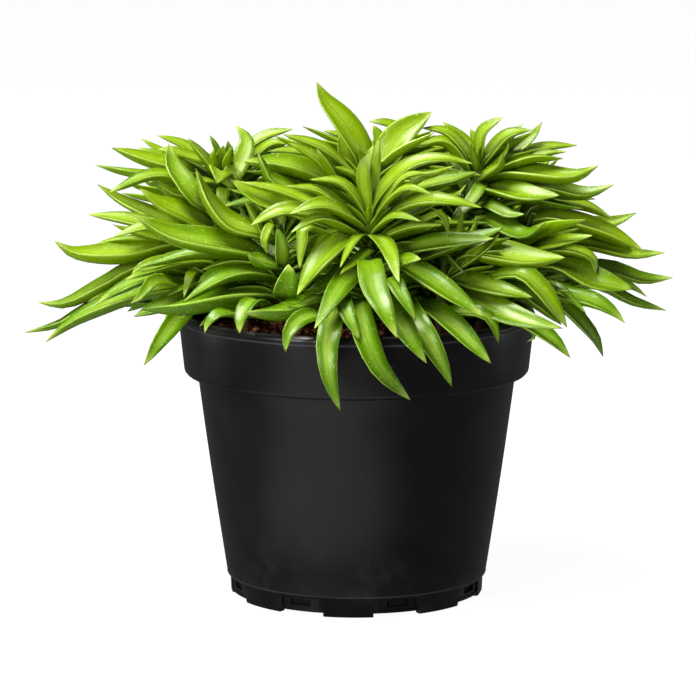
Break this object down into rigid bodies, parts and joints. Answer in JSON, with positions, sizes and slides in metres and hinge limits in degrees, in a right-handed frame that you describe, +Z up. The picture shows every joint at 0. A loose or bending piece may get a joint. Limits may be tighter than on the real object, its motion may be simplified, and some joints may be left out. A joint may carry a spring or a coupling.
{
  "type": "potted peperomia plant",
  "caption": "Dome of long folded bean-shaped leaves on leafy stems, growing from soil in a tapered black plastic nursery pot with a deep rim band",
  "frame": {"origin": "Middle of the pot's foot, on the surface that the pot stands on, 1 mm below the underside face", "axes": "+Z up along the pot's axis, +X to the plant's right and -Y to its front, as seen in the picture"},
  "size_m": [0.2183, 0.1678, 0.1734],
  "materials": {
    "pot_black": "satin",
    "soil_peat": "matte",
    "leaf_green": "satin"
  },
  "bodies": {
    "root": {"pot": "pot_black", "soil": "soil_peat", "stem_front": "leaf_green", "stem_front_left": "leaf_green", "stem_front_right": "leaf_green", "stem_centre": "leaf_green", "stem_left": "leaf_green", "stem_right": "leaf_green", "stem_left_upper": "leaf_green", "stem_right_upper": "leaf_green", "stem_middle": "leaf_green", "stem_back_left": "leaf_green", "stem_back_inner_left": "leaf_green", "stem_back_inner_right": "leaf_green", "stem_back_right": "leaf_green"}
  },
  "joints": []
}
